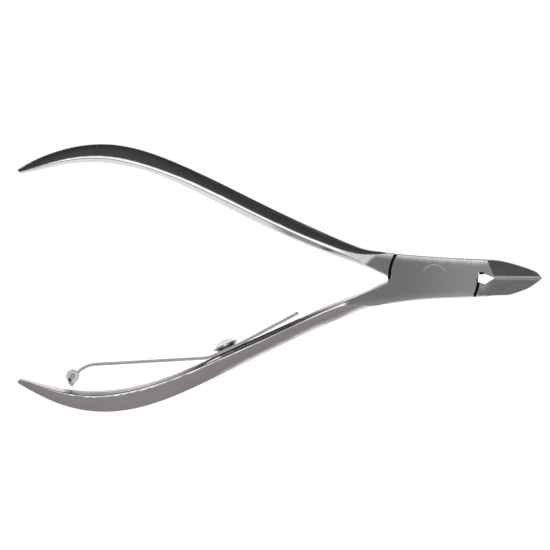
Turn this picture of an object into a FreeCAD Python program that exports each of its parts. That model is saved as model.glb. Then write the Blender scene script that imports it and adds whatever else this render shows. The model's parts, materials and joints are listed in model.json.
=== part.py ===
import FreeCAD, Part
import math
import os
from FreeCAD import Vector

os.makedirs("parts", exist_ok=True)

# Cuticle nipper lying flat: pivot axis along +Z, jaws towards +X, millimetres.
# The origin is on the pivot axis, at the back face of the joint, where it rests.
# front lever: lower handle, front half of the lap joint and upper jaw.
# back lever: upper handle, back half of the lap joint and lower jaw.

# ---- overall sizes
HANDLE_REACH = 83.3        # pivot axis to the tail of a handle, along X
BACK_BOW = 24.8            # pivot axis to the back handle's centreline at its bow
FRONT_BOW = 24.9           # the same for the front handle
TIP_REACH = 21.6           # pivot axis to the jaw tips
JOINT_THICKNESS = 6.0      # both laps together

# ---- lap joint
NECK_X = -9.15             # where the handles meet the joint plate
HEEL_X = 10.5              # where the jaws start
LAP_RADIUS = 8.65          # round ends of the laps
LAP_END_GAP = 0.55         # lap end to the other lever's shoulder
LAP_FACE_GAP = 0.04        # running gap between the two laps
EDGE_CHAMFER = 0.25        # along the joint plate's long edges
LAP_CHAMFER = 0.15         # along a lap's round ends, on its outward face
FRONT_NECK_CENTRE = 3.1    # handle centreline beside the joint, from the pivot axis
BACK_NECK_CENTRE = 2.45
NOTCH_Y = -0.4             # parting of the two handles at the joint

# ---- pivot rivet
RIVET_SHANK_RADIUS = 1.9
RIVET_HEAD_RADIUS = 2.45   # peened flush into a countersink at both ends
RIVET_HEAD_DEPTH = 0.8
RIVET_CLEARANCE = 0.04     # running fit in the back lever

# ---- jaws
CUT_Y = -0.20              # line of the cutting edges
JAW_GAP = 0.03             # between the closed edges
TIP_FRONT_DROP = 2.1       # the front facets fall by this from heel to tip
TIP_BACK_RISE = 1.8        # the back faces rise by this
FACET_START = 0.0          # from a jaw's heel to its front facet, at the outer edge
EDGE_BEVEL = 0.32          # width of the ground strip along each cutting edge
EDGE_BEVEL_DROP = 0.16
JAW_CHAMFER = 0.15         # along a jaw's outer edge, on the facet
HOLLOW_HALF_WIDTH = 2.2    # relief ground behind the cutting edges, at the heel
EDGE_LAND = 1.0            # height of edge left in front of the relief
RELIEF_START = 0.9         # from the heel to the relief
RELIEF_END = 1.5           # from the relief to the tip
RELIEF_END_HALF_WIDTH = 0.3

# ---- handles
FULL_WIDTH = 3.4           # bevels and rounds shrink where the handle is narrower
OUTER_RIDGE_ROUND = 0.22   # from the ridge's corner to where its round starts
INNER_RIDGE_ROUND = 0.12
TAIL_CUT = (-0.8, -0.55)   # the way the tail's cut faces: along X, and towards the other handle

# ---- spring
SEAT_X = -41.2             # screw axis where it meets the front handle
SEAT_DEPTH = 0.10          # flat ground into the handle's inner side
LEAF_THICKNESS = 0.6
LEAF_WIDTH = 3.8
SCREW_RADIUS = 1.0
SCREW_DEPTH = 2.8
HEAD_RADIUS = 2.35
DOME_HEIGHT = 1.0
SLOT_WIDTH = 0.6
SLOT_DEPTH = 0.65
HEAD_RIM = 0.2             # height of the upright rim under the dome
HEAD_LIFT = 0.02           # head to the washer's dished rim
WASHER_RADIUS = 2.75
WASHER_BASE = 1.75         # outer radius of the washer's flat base
WASHER_THICKNESS = 0.3
WASHER_DISH = 0.55         # the washer's rim stands this much above its base
SWIVEL_CLEARANCE = 0.06    # leaf and washer round the screw
ROLLER_RADIUS = 1.3
AXLE_RADIUS = 0.5
EAR_WIDTH = 0.85
EAR_RADIUS = 1.15
EAR_TAIL = 1.75            # from the axle to the ear's end, along the leaf
ROLLER_CLEARANCE = 0.05    # bore on axle
ROLLER_SIDE_GAP = 0.1      # roller to each ear
FORK_CLEARANCE = 0.25      # roller to the fork's root
AXLE_OFFSET = 0.65         # roller axis from the leaf's centreline
AXLE_BACK = 1.35           # roller axis from the leaf's last bend, along the leaf
LIP_RADIUS = 0.37          # rolled lip on the short arm's end

MID_Z = JOINT_THICKNESS / 2
POCKET_RADIUS = LAP_RADIUS + LAP_END_GAP
FAR = 200.0                # reach of cutting blocks

# Handle paths from the joint (0) to the tail (1), with one section past the tail's cut:
# share of the way, share of the bow's height, width across (mm).
BACK_PATH = [
    (0.000, 0.000, 4.90), (0.049, 0.052, 3.88), (0.076, 0.080, 3.60), (0.130, 0.147, 3.64),
    (0.183, 0.219, 3.98), (0.237, 0.295, 4.20), (0.345, 0.463, 4.36), (0.453, 0.642, 4.32),
    (0.561, 0.813, 4.10), (0.642, 0.918, 4.04), (0.723, 0.984, 4.00), (0.777, 1.000, 3.80),
    (0.831, 0.991, 3.50), (0.885, 0.958, 3.14), (0.944, 0.899, 2.50), (0.985, 0.852, 1.56),
    (1.008, 0.822, 1.05)]
FRONT_PATH = [
    (0.000, 0.000, 4.60), (0.049, 0.053, 3.70), (0.076, 0.086, 3.56), (0.130, 0.157, 3.74),
    (0.183, 0.234, 3.90), (0.237, 0.317, 3.90), (0.345, 0.491, 4.04), (0.453, 0.665, 4.26),
    (0.561, 0.831, 4.50), (0.642, 0.929, 4.64), (0.723, 0.988, 4.56), (0.777, 1.000, 4.36),
    (0.831, 0.989, 3.92), (0.885, 0.952, 3.36), (0.944, 0.882, 2.46), (0.985, 0.826, 1.60),
    (1.008, 0.792, 1.15)]

# Crest of the handle's section, by distance from the pivot along X:
# distance, crest's outer and inner side as shares of the width from the inner
# edge, and their heights above the mid-plane. Near the joint they rise past the
# joint's faces, which grind them flat.
BACK_CREST = [
    (9.15, 0.93, 0.10, 3.06, 3.40), (10.75, 0.885, 0.10, 2.98, 3.35),
    (12.75, 0.78, 0.11, 2.88, 3.22), (14.75, 0.65, 0.14, 2.80, 2.98),
    (18.75, 0.49, 0.24, 2.72, 2.72), (26.75, 0.43, 0.27, 2.66, 2.62),
    (38.75, 0.43, 0.26, 2.66, 2.62), (46.75, 0.40, 0.22, 2.66, 2.62),
    (56.75, 0.32, 0.16, 2.66, 2.62), (66.75, 0.35, 0.20, 2.66, 2.62)]
FRONT_CREST = [
    (9.15, 0.95, 0.12, 3.10, 3.30), (12.75, 0.93, 0.12, 3.04, 3.20),
    (14.75, 0.72, 0.13, 3.01, 3.12), (16.75, 0.45, 0.14, 2.97, 2.98),
    (18.75, 0.39, 0.20, 2.84, 2.84), (26.75, 0.31, 0.23, 2.66, 2.62),
    (36.75, 0.30, 0.22, 2.66, 2.62), (42.75, 0.27, 0.19, 2.66, 2.62),
    (50.75, 0.23, 0.15, 2.66, 2.62), (58.75, 0.23, 0.15, 2.66, 2.62),
    (66.75, 0.29, 0.21, 2.66, 2.62)]

# Inner side of the section, by distance from the pivot along X: heights of the
# flat side and of the bevel above it, as shares of the inner ridge's, and the
# bevel's width as a share of the way to that ridge.
BACK_INNER = [
    (9.15, 0.70, 0.92, 0.76), (16.5, 0.60, 0.83, 0.54), (24.0, 0.50, 0.74, 0.32),
    (40.0, 0.36, 0.60, 0.32)]
FRONT_INNER = [
    (9.15, 0.70, 0.92, 0.76), (16.5, 0.60, 0.83, 0.54), (24.0, 0.50, 0.79, 0.30),
    (44.0, 0.50, 0.79, 0.32), (54.0, 0.36, 0.60, 0.32)]

# Outer side: height of the rim as a share of the outer ridge's, the rim's width,
# and how far the middle of the facet between them stands proud, both ways.
BACK_OUTER = [(9.15, 0.86, 0.08, 0.05), (16.5, 0.64, 0.13, 0.06), (24.0, 0.46, 0.18, 0.07)]
FRONT_OUTER = [
    (9.15, 0.86, 0.08, 0.05), (16.5, 0.61, 0.13, 0.08), (24.0, 0.36, 0.18, 0.14),
    (43.0, 0.34, 0.18, 0.14), (52.0, 0.46, 0.18, 0.07)]

# Half thickness of the handle beyond the neck, as a share of the ridge's.
TAPER = [(0.0, 1.0), (0.45, 1.0), (0.72, 0.93), (0.88, 0.76), (0.96, 0.58), (1.0, 0.41)]

# Long edges of the joint plate, heel of the jaws last.
JOINT_TOP = [(NECK_X, 4.9), (-6.75, 4.6), (-1.95, 4.2), (4.05, 3.8), (8.85, 3.6), (HEEL_X, 3.55)]
JOINT_BOTTOM = [
    (NECK_X, -5.4), (-6.75, -5.04), (-1.95, -4.5), (4.05, -4.2), (8.85, -4.0), (HEEL_X, -3.92)]

# Outer edges of the jaws: share of the jaw's length, distance from the cutting line.
UPPER_JAW = [(0.0, 3.70), (0.18, 3.64), (0.37, 3.27), (0.59, 2.58), (0.81, 1.75), (0.92, 1.10),
             (1.0, 0.18)]
LOWER_JAW = [(0.0, 3.77), (0.24, 3.55), (0.43, 3.42), (0.57, 2.92), (0.75, 2.20), (0.87, 1.35),
             (0.96, 0.62), (1.0, 0.18)]

# Throat between lap ends and cutting edges, seen from the front, and the recess that
# opens its upper corner in the front lever, down to the mid-plane.
THROAT_X = 8.86
THROAT = [(THROAT_X, 0.45), (10.2, 0.6), (11.9, CUT_Y + 0.12), (12.1, CUT_Y),
          (11.9, CUT_Y - 0.12), (10.2, -1.45), (THROAT_X, -1.0)]
THROAT_RECESS = [(THROAT_X, 1.0), (9.9, 0.96), (10.2, 0.6), (THROAT_X, 0.45)]
THROAT_END = THROAT[3][0]


def at(rows, x):
    """The row of a table at x, straight between its neighbours."""
    if x <= rows[0][0]:
        return rows[0][1:]
    for a, b in zip(rows, rows[1:]):
        if x <= b[0]:
            t = (x - a[0]) / (b[0] - a[0])
            return [p + t * (q - p) for p, q in zip(a[1:], b[1:])]
    return rows[-1][1:]


def save(name, shape):
    """One sub-part, written as one STEP file."""
    shape = shape.removeSplitter()
    print(name, "valid", shape.isValid(), "solids", len(shape.Solids), round(shape.Volume, 2))
    shape.exportStep(f"parts/{name}.step")
    return shape


def block(x0, x1, y0, y1, z0, z1):
    return Part.makeBox(x1 - x0, y1 - y0, z1 - z0, Vector(x0, y0, z0))


def above_plane(point, normal):
    """A large block that fills the space on the normal's side of a plane."""
    shape = block(-FAR, FAR, -FAR, FAR, 0, FAR)
    turn = FreeCAD.Rotation(Vector(0, 0, 1), Vector(*normal))
    shape.Placement = FreeCAD.Placement(Vector(*point), turn)
    return shape


def spline(points):
    curve = Part.BSplineCurve()
    curve.interpolate([Vector(x, y, 0) for x, y in points])
    return curve.toShape()


def plate(edges, z0, z1):
    """A closed outline in the XY plane, made solid between two heights."""
    face = Part.Face(Part.Wire(Part.__sortEdges__(edges)))
    face.translate(Vector(0, 0, z0))
    return face.extrude(Vector(0, 0, z1 - z0))


def line(a, b):
    return Part.LineSegment(Vector(a[0], a[1], 0), Vector(b[0], b[1], 0)).toShape()


def joined(points):
    """An edge: straight between two points, or an arc through three."""
    if len(points) == 2:
        return Part.LineSegment(*points).toShape()
    return Part.Arc(*points).toShape()


# ---- handles

def handle_x(u):
    return NECK_X - u * (HANDLE_REACH + NECK_X)


def rounded(before, corner, after, reach):
    """Start, middle and end of an arc that rounds a corner, reach from the corner each way."""
    back = before - corner
    ahead = after - corner
    reach = min(reach, 0.4 * back.Length, 0.4 * ahead.Length)
    back.normalize()
    ahead.normalize()
    inward = (back + ahead).normalize()
    half_turn = math.pi / 2 - math.acos(back.dot(ahead)) / 2
    radius = reach / math.tan(half_turn)
    middle = corner + inward * (radius / math.cos(half_turn) - radius)
    return corner + back * reach, middle, corner + ahead * reach


def section(x, middle, width, crest, sides, taper, side):
    """Closed outline of a handle across X.

    From the inner side outwards: a flat side, a bevel, a narrow inner facet, the
    crest between two rounded ridges, a broad convex outer facet and a rounded rim,
    the same front and back.
    """
    slim = min(1.0, width / FULL_WIDTH)
    outer_share, inner_share, outer_height, inner_height = crest
    outer_height *= taper
    inner_height *= taper
    side_share, bevel_share, bevel_reach = at(sides[0], -x)
    rim_share, rim_width, bulge = at(sides[1], -x)
    rim_v = width - rim_width * slim
    bulge *= slim
    inner_y = middle - width / 2

    def edges_of(sign):
        """The outline's front half, or its back half in reverse."""
        def point(v, h):
            return Vector(x, side * (inner_y + v), MID_Z + sign * h)

        foot = point(0, inner_height * side_share)
        shoulder = point(inner_share * width * bevel_reach, inner_height * bevel_share)
        inner = point(inner_share * width, inner_height)
        outer = point(outer_share * width, outer_height)
        rim = point(rim_v, outer_height * rim_share)
        inner_arc = rounded(shoulder, inner, outer, INNER_RIDGE_ROUND * slim)
        outer_arc = rounded(inner, outer, rim, OUTER_RIDGE_ROUND * slim)
        facet = (outer_arc[2] + rim) * 0.5 + point(bulge, bulge) - point(0, 0)
        pieces = [
            (foot, shoulder), (shoulder, inner_arc[0]), inner_arc, (inner_arc[2], outer_arc[0]),
            outer_arc, (outer_arc[2], facet, rim)]
        if sign < 0:
            pieces = [piece[::-1] for piece in reversed(pieces)]
        return foot, rim, [joined(piece) for piece in pieces]

    front_foot, front_rim, front_edges = edges_of(1)
    back_foot, back_rim, back_edges = edges_of(-1)
    outline = front_edges
    outline.append(joined((front_rim, Vector(x, side * (inner_y + width), MID_Z), back_rim)))
    outline += back_edges
    outline.append(joined((back_foot, front_foot)))
    return Part.Wire(outline)


def handle(path, crests, sides, neck, bow, side):
    """A handle lofted along its path from the joint to the tail."""
    wires = []
    for u, rise, width in path:
        x = handle_x(u)
        middle = neck + rise * (bow - neck)
        taper = at(TAPER, u)[0]
        wires.append(section(x, middle, width, at(crests, -x), sides, taper, side))
    shape = Part.makeLoft(wires, True, False)
    tail = neck + path[-2][1] * (bow - neck)
    facing = (TAIL_CUT[0], side * TAIL_CUT[1], 0)
    return shape.cut(above_plane((-HANDLE_REACH, side * tail, 0), facing))


# ---- joint plate and jaws

def joint_plate():
    """The plate that both laps are cut from, its long edges chamfered."""
    edges = [
        spline(JOINT_TOP),
        line(JOINT_TOP[-1], JOINT_BOTTOM[-1]),
        spline(JOINT_BOTTOM),
        line(JOINT_BOTTOM[0], JOINT_TOP[0])]
    shape = plate(edges, 0, JOINT_THICKNESS)
    long_edges = []
    for edge in shape.Edges:
        box = edge.BoundBox
        if box.XLength > 10 and box.ZLength < 0.01:
            long_edges.append(edge)
    return shape.makeChamfer(EDGE_CHAMFER, long_edges)


def jaw(outline, side):
    """One jaw: tapered block, front facet, edge strip, back slope and relief."""
    length = TIP_REACH - HEEL_X
    edge_y = CUT_Y + side * JAW_GAP / 2
    outer = [(HEEL_X + share * length, CUT_Y + side * off) for share, off in outline]
    tip = (TIP_REACH, edge_y)
    heel = (HEEL_X, edge_y)
    edges = [spline(outer), line(outer[-1], tip), line(tip, heel), line(heel, outer[0])]
    shape = plate(edges, 0, JOINT_THICKNESS)

    # The facet leaves the joint's front face along a slanted heel line and falls
    # towards the tip, so it also falls away from the cutting edge.
    heel_line = Vector(HEEL_X + FACET_START - THROAT_END, side * outline[0][1], 0)
    fall_line = Vector(TIP_REACH - THROAT_END, 0, -TIP_FRONT_DROP)
    facet = heel_line.cross(fall_line) * -side
    edge_start = Vector(THROAT_END, CUT_Y, JOINT_THICKNESS)
    shape = shape.cut(above_plane(edge_start, facet))
    fall = TIP_FRONT_DROP / (TIP_REACH - THROAT_END)
    strip_tilt = EDGE_BEVEL_DROP / EDGE_BEVEL
    shape = shape.cut(above_plane(
        (THROAT_END, CUT_Y, JOINT_THICKNESS - EDGE_BEVEL_DROP), (fall, -side * strip_tilt, 1)))
    rise = TIP_BACK_RISE / (TIP_REACH - THROAT_END)
    shape = shape.cut(above_plane((THROAT_END, CUT_Y, 0), (rise, 0, -1)))
    long_edges = []
    for edge in shape.Edges:
        box = edge.BoundBox
        if box.XLength > 0.8 * length and box.ZMin > MID_Z and box.YLength > 1.0:
            long_edges.append(edge)
    return shape.makeChamfer(JAW_CHAMFER, long_edges).cut(relief())


def relief():
    """Arched hollow behind the cutting edges, narrowing towards the tip."""
    fall = TIP_FRONT_DROP / (TIP_REACH - THROAT_END)
    start = HEEL_X + RELIEF_START
    stop = TIP_REACH - RELIEF_END
    arches = []
    for x, half_width in ((start, HOLLOW_HALF_WIDTH), (stop, RELIEF_END_HALF_WIDTH)):
        top = JOINT_THICKNESS - max(0.0, x - THROAT_END) * fall - EDGE_LAND
        foot = [Vector(x, CUT_Y - half_width, -1), Vector(x, CUT_Y + half_width, -1)]
        knee = [Vector(x, CUT_Y - half_width, top - half_width),
                Vector(x, CUT_Y + half_width, top - half_width)]
        crown = Vector(x, CUT_Y, top)
        arches.append(Part.Wire([
            Part.LineSegment(foot[0], knee[0]).toShape(),
            Part.Arc(knee[0], crown, knee[1]).toShape(),
            Part.LineSegment(knee[1], foot[1]).toShape(),
            Part.LineSegment(foot[1], foot[0]).toShape()]))
    return Part.makeLoft(arches, True, True)


def prism(corners, z0, z1):
    """A solid of straight sides between two heights."""
    closed = corners + [corners[0]]
    return plate([line(a, b) for a, b in zip(closed, closed[1:])], z0, z1)


def throat():
    return prism(THROAT, -1, JOINT_THICKNESS + 1)


def disc(radius, z0, z1):
    return Part.makeCylinder(radius, z1 - z0, Vector(0, 0, z0))


def lever(handle_shape, jaw_shape, plate_shape, handle_side, lap_low, lap_high):
    """Handle, lap and jaw as one forging.

    The lever is full thickness outside the pocket that the other lever's lap turns
    in; inside it only this lever's own lap is left, between lap_low and lap_high.
    """
    if handle_side < 0:
        shoulder = block(NECK_X - 0.01, 0, -FAR, NOTCH_Y, -FAR, FAR)
        jaw_root = block(0, HEEL_X, CUT_Y, FAR, -FAR, FAR)
    else:
        shoulder = block(NECK_X - 0.01, 0, NOTCH_Y, FAR, -FAR, FAR)
        jaw_root = block(0, HEEL_X, -FAR, CUT_Y, -FAR, FAR)
    ends = plate_shape.common(shoulder.fuse(jaw_root))
    shape = handle_shape.fuse([ends, jaw_shape]).cut(throat())
    inner_radius = LAP_RADIUS - LAP_CHAMFER
    if lap_low > 0:
        pocket = disc(POCKET_RADIUS, -1, lap_low)
        lap = disc(LAP_RADIUS, lap_low, lap_high - LAP_CHAMFER)
        edge = Part.makeCone(LAP_RADIUS, inner_radius, LAP_CHAMFER,
                             Vector(0, 0, lap_high - LAP_CHAMFER))
    else:
        pocket = disc(POCKET_RADIUS, lap_high, JOINT_THICKNESS + 1)
        lap = disc(LAP_RADIUS, LAP_CHAMFER, lap_high)
        edge = Part.makeCone(inner_radius, LAP_RADIUS, LAP_CHAMFER)
    return shape.cut(pocket).fuse(plate_shape.common(lap.fuse(edge)))


# ---- pivot rivet

def rivet_shape(grow):
    """Shank with a conical head flush at each end; grow gives the hole for it."""
    shank = disc(RIVET_SHANK_RADIUS + grow, 0, JOINT_THICKNESS)
    head = Part.makeCone(RIVET_HEAD_RADIUS + grow, RIVET_SHANK_RADIUS + grow, RIVET_HEAD_DEPTH)
    other = Part.makeCone(RIVET_SHANK_RADIUS + grow, RIVET_HEAD_RADIUS + grow, RIVET_HEAD_DEPTH,
                          Vector(0, 0, JOINT_THICKNESS - RIVET_HEAD_DEPTH))
    return shank.fuse([head, other])


# ---- spring, in a frame on its seat: u along the handle towards the joint,
# n out of the handle's inner side, and z along the pivot axis

def seat_frame():
    """Origin and directions of the spring's seat on the front handle."""
    span = []
    for x in (SEAT_X - 8.0, SEAT_X + 18.0):
        u = (NECK_X - x) / (HANDLE_REACH + NECK_X)
        rise, width = at(FRONT_PATH, u)
        middle = FRONT_NECK_CENTRE + rise * (FRONT_BOW - FRONT_NECK_CENTRE)
        span.append(Vector(x, -(middle - width / 2), 0))
    along = span[1] - span[0]
    along.normalize()
    out = Vector(-along.y, along.x, 0)
    origin = span[0] + along * ((SEAT_X - span[0].x) / along.x) - out * SEAT_DEPTH
    origin.z = MID_Z
    return origin, along, out


SEAT, ALONG, OUT = seat_frame()
SEAT_ANGLE = math.degrees(math.atan2(ALONG.y, ALONG.x))


def seated(shape):
    """Moves a shape from the seat frame to the tool's frame."""
    shape = shape.copy()
    turn = FreeCAD.Rotation(Vector(0, 0, 1), SEAT_ANGLE)
    shape.Placement = FreeCAD.Placement(SEAT, turn).multiply(shape.Placement)
    return shape


# Centreline of the leaf from its free short end to the roller: along, out, bend radius.
LEAF_HALF = LEAF_THICKNESS / 2
LEAF_ROUTE = [
    (15.6, LEAF_HALF + 0.78, 0), (3.4, LEAF_HALF, 20.0), (-4.1, LEAF_HALF, 6.0),
    (-26.4, LEAF_HALF + 8.65, 5.0), (-28.9, LEAF_HALF + 8.35, 2.0), (-31.4, LEAF_HALF + 6.25, 0)]


def fork_frame():
    """Last bend of the leaf, and directions along and across its forked end."""
    bend = Vector(LEAF_ROUTE[-2][0], LEAF_ROUTE[-2][1], 0)
    end = Vector(LEAF_ROUTE[-1][0], LEAF_ROUTE[-1][1], 0)
    down = (end - bend).normalize()
    across = Vector(down.y, -down.x, 0)
    return bend, down, across


FORK_BEND, FORK_DOWN, FORK_ACROSS = fork_frame()
ROLLER_AT = FORK_BEND + FORK_DOWN * AXLE_BACK + FORK_ACROSS * AXLE_OFFSET


def strip(route, thickness, width):
    """A bent strip: straight runs and tangent arcs, given width along z."""
    half = thickness / 2
    points = [Vector(u, n, 0) for u, n, _ in route]
    sides = {1: [], -1: []}
    previous = points[0]
    for i in range(1, len(points)):
        direction = (points[i] - points[i - 1]).normalize()
        normal = Vector(-direction.y, direction.x, 0)
        if i == len(points) - 1:
            for s, edges in sides.items():
                edges.append(Part.LineSegment(previous + normal * half * s,
                                              points[i] + normal * half * s).toShape())
            break
        follow = (points[i + 1] - points[i]).normalize()
        follow_normal = Vector(-follow.y, follow.x, 0)
        turn = math.acos(max(-1.0, min(1.0, direction.dot(follow))))
        radius = route[i][2]
        reach = radius * math.tan(turn / 2)
        start = points[i] - direction * reach
        stop = points[i] + follow * reach
        way = 1 if direction.x * follow.y - direction.y * follow.x > 0 else -1
        centre = start + normal * radius * way
        middle = (points[i] - centre).normalize()
        for s, edges in sides.items():
            r = radius - way * s * half
            edges.append(Part.LineSegment(previous + normal * half * s,
                                          start + normal * half * s).toShape())
            edges.append(Part.Arc(start + normal * half * s, centre + middle * r,
                                  stop + follow_normal * half * s).toShape())
        previous = stop
    first = [sides[1][0].Vertexes[0].Point, sides[-1][0].Vertexes[0].Point]
    last = [sides[1][-1].Vertexes[-1].Point, sides[-1][-1].Vertexes[-1].Point]
    edges = sides[1] + sides[-1] + [line(first[0], first[1]), line(last[0], last[1])]
    return plate(edges, -width / 2, width / 2)


def upright(radius, n0, n1, u=0.0):
    """A cylinder along the screw axis."""
    return Part.makeCylinder(radius, n1 - n0, Vector(u, n0, 0), Vector(0, 1, 0))


def axle_cylinder(radius, z0, z1):
    return Part.makeCylinder(radius, z1 - z0, ROLLER_AT + Vector(0, 0, z0))


def spring_leaf():
    """Leaf with a lipped short arm, a long arm and a forked end with two ears."""
    leaf = strip(LEAF_ROUTE, LEAF_THICKNESS, LEAF_WIDTH)
    leaf = leaf.cut(upright(SCREW_RADIUS + SWIVEL_CLEARANCE, -5, 5))
    tip = Vector(LEAF_ROUTE[0][0], LEAF_ROUTE[0][1], -LEAF_WIDTH / 2)
    leaf = leaf.fuse(Part.makeCylinder(LIP_RADIUS, LEAF_WIDTH, tip))

    # Each ear is a round plate about the axle, flush with the leaf's outer face
    face = AXLE_OFFSET + LEAF_HALF
    along = FORK_DOWN * EAR_RADIUS
    tail = FORK_DOWN * EAR_TAIL
    foot = ROLLER_AT - FORK_ACROSS * face
    web = [foot - along, foot + tail, ROLLER_AT + tail, ROLLER_AT + FORK_ACROSS * EAR_RADIUS,
           ROLLER_AT - along]
    half = LEAF_WIDTH / 2 - EAR_WIDTH
    for z0 in (-LEAF_WIDTH / 2, half):
        disc_part = axle_cylinder(EAR_RADIUS, z0, z0 + EAR_WIDTH)
        disc_part = disc_part.common(above_plane(foot, FORK_ACROSS))
        leaf = leaf.fuse([prism(web, z0, z0 + EAR_WIDTH), disc_part])
    leaf = leaf.cut(axle_cylinder(ROLLER_RADIUS + FORK_CLEARANCE, -half, half))
    return leaf.cut(axle_cylinder(AXLE_RADIUS, -5, 5))


def revolved(pieces):
    """A ring or disc turned about the screw axis from lines and arcs of radius and height."""
    edges = []
    for piece in pieces:
        edges.append(joined([Vector(radius, height, 0) for radius, height in piece]))
    return Part.Face(Part.Wire(edges)).revolve(Vector(0, 0, 0), Vector(0, 1, 0), 360)


def straight(points):
    """The lines between neighbouring points."""
    return list(zip(points, points[1:]))


def washer():
    """Dished washer: flat base on the leaf, rim raised."""
    low = LEAF_THICKNESS
    top = low + WASHER_THICKNESS
    inner = SCREW_RADIUS + SWIVEL_CLEARANCE
    return revolved(straight([
        (inner, low), (WASHER_BASE, low), (WASHER_RADIUS, low + WASHER_DISH),
        (WASHER_RADIUS, top + WASHER_DISH), (WASHER_BASE, top), (inner, top), (inner, low)]))


def screw():
    """Slotted dome head seated in the washer's dish, and the threaded shank."""
    seat = LEAF_THICKNESS + WASHER_THICKNESS
    slope = WASHER_DISH / (WASHER_RADIUS - WASHER_BASE)
    brim = seat + slope * (HEAD_RADIUS - WASHER_BASE) + HEAD_LIFT
    rim_top = brim + HEAD_RIM
    top = rim_top + DOME_HEIGHT
    ball = (HEAD_RADIUS ** 2 + DOME_HEIGHT ** 2) / (2 * DOME_HEIGHT)
    half_spread = math.asin(HEAD_RADIUS / ball) / 2
    middle = (ball * math.sin(half_spread), top - ball * (1 - math.cos(half_spread)))
    foot = WASHER_BASE - HEAD_LIFT
    head = revolved(straight([(0, top), (0, seat), (foot, seat), (HEAD_RADIUS, brim),
                              (HEAD_RADIUS, rim_top)])
                    + [[(HEAD_RADIUS, rim_top), middle, (0, top)]])
    slot = block(-FAR, FAR, top - SLOT_DEPTH, FAR, -SLOT_WIDTH / 2, SLOT_WIDTH / 2)
    shank = upright(SCREW_RADIUS, -SCREW_DEPTH, seat + HEAD_RIM)
    return head.fuse(shank).cut(slot)


plate_shape = joint_plate()
half_gap = LAP_FACE_GAP / 2
trim = block(-FAR, FAR, -FAR, FAR, 0, JOINT_THICKNESS)

front_sides = (FRONT_INNER, FRONT_OUTER)
front_handle = handle(FRONT_PATH, FRONT_CREST, front_sides, FRONT_NECK_CENTRE, FRONT_BOW, -1)
front_handle = front_handle.common(trim)
front = lever(front_handle, jaw(UPPER_JAW, 1), plate_shape, -1, MID_Z + half_gap, JOINT_THICKNESS)
seat_cut = block(-5.5, 18.0, 0, 6, -10, 10)
recess = prism(THROAT_RECESS, MID_Z, JOINT_THICKNESS + 1)
screw_hole = seated(upright(SCREW_RADIUS, -SCREW_DEPTH, 1))
front = front.cut([rivet_shape(0), recess, seated(seat_cut), screw_hole])
save("front_lever", front)

back_sides = (BACK_INNER, BACK_OUTER)
back_handle = handle(BACK_PATH, BACK_CREST, back_sides, BACK_NECK_CENTRE, BACK_BOW, 1)
back_handle = back_handle.common(trim)
back = lever(back_handle, jaw(LOWER_JAW, -1), plate_shape, 1, 0, MID_Z - half_gap)
save("back_lever", back.cut(rivet_shape(RIVET_CLEARANCE)))

save("pivot_rivet", rivet_shape(0))
save("spring_leaf", seated(spring_leaf()))
save("spring_washer", seated(washer()))
save("spring_screw", seated(screw()))

roller_half = LEAF_WIDTH / 2 - EAR_WIDTH - ROLLER_SIDE_GAP
roller = axle_cylinder(ROLLER_RADIUS, -roller_half, roller_half)
save("roller", seated(roller.cut(axle_cylinder(AXLE_RADIUS + ROLLER_CLEARANCE, -5, 5))))
save("roller_axle", seated(axle_cylinder(AXLE_RADIUS, -LEAF_WIDTH / 2, LEAF_WIDTH / 2)))

print("seat", SEAT, "angle", SEAT_ANGLE)
print("roller axis", SEAT + ALONG * ROLLER_AT.x + OUT * ROLLER_AT.y)
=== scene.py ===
import json
import math

import bmesh
import bpy
import numpy as np
from bpy.props import FloatProperty, FloatVectorProperty, IntProperty, PointerProperty
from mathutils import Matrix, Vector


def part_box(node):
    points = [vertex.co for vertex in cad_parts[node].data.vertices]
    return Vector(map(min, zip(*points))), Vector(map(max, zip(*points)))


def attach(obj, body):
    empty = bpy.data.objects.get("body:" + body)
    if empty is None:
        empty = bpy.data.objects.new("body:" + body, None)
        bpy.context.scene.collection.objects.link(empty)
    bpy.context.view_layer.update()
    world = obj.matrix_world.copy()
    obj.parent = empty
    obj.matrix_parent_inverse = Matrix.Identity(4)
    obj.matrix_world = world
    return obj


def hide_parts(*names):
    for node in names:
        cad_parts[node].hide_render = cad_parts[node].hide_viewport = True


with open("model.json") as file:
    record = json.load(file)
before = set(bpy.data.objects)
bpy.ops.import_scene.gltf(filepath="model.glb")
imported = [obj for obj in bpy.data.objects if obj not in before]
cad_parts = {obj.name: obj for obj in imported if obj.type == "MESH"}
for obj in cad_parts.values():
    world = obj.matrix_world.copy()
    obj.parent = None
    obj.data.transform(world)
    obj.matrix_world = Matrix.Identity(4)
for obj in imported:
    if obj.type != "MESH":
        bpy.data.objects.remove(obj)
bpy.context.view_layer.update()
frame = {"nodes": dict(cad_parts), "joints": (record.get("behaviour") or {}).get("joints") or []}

# Cuticle nipper, lying flat with its pivot axis along +Z and its jaws towards +X.
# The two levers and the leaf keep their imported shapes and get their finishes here.
# The rivet, screw, washer, roller and axle are turned or pressed pieces made anew.

bl_info = {
    "name": "Cuticle Nipper",
    "version": (1, 0, 0),
    "blender": (4, 5, 0),
    "location": "3D View > Sidebar > Nipper",
    "description": "Finishes, turned parts and studio of a steel cuticle nipper",
    "category": "Add Mesh",
}

MM = 0.001
MERGE_DISTANCE = 2e-7      # metres; points nearer than this are one point
SHARP_ANGLE = 0.6          # radians; flatter edges are shaded smooth


# ---- places that come from the frame

def joint_place(name):
    """Position and unit axis of a joint of the frame, in metres."""
    joint = next(j for j in frame["joints"] if j["name"] == name)
    axis = np.array(joint["axis"], float)
    return np.array(joint["pos_m"], float), axis / np.linalg.norm(axis)


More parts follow.
